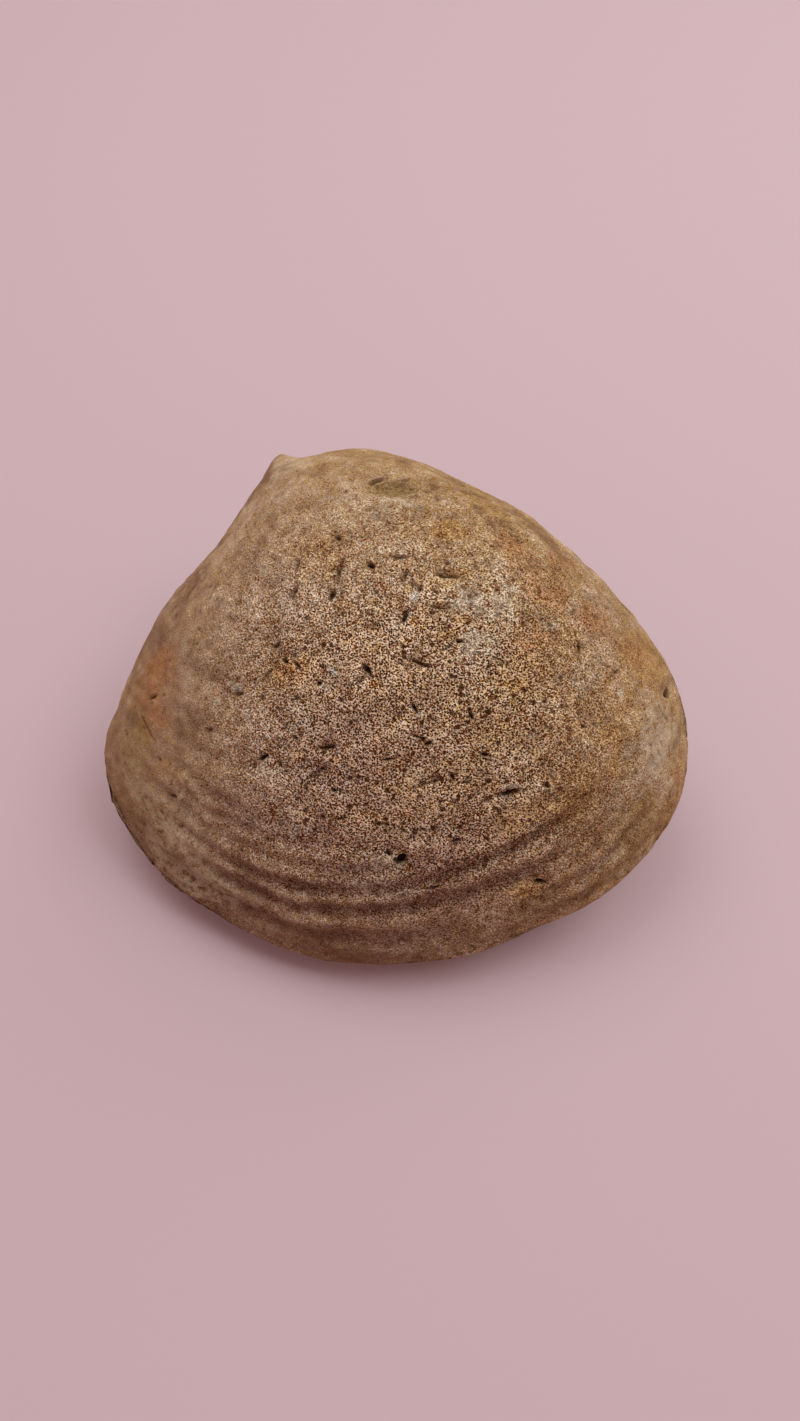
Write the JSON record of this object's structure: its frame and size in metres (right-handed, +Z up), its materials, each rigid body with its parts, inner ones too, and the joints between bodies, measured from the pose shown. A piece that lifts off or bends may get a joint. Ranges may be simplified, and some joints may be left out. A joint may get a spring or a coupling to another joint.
{
  "type": "fossil bivalve",
  "caption": "Brown sandstone internal mould of a clam-like bivalve, valves closed, with pitted domed sides and growth furrows round the rim.",
  "frame": {"origin": "centre of the footprint of the stone on the surface it lies on", "axes": "+X along the shell's length towards its rear end, +Y from the free rim towards the hinge, +Z up from the surface"},
  "size_m": [0.0578, 0.049, 0.0304],
  "materials": {
    "stone": "matte, fine grained and pitted"
  },
  "bodies": {
    "root": {"fossil_bivalve": "stone"}
  },
  "joints": []
}
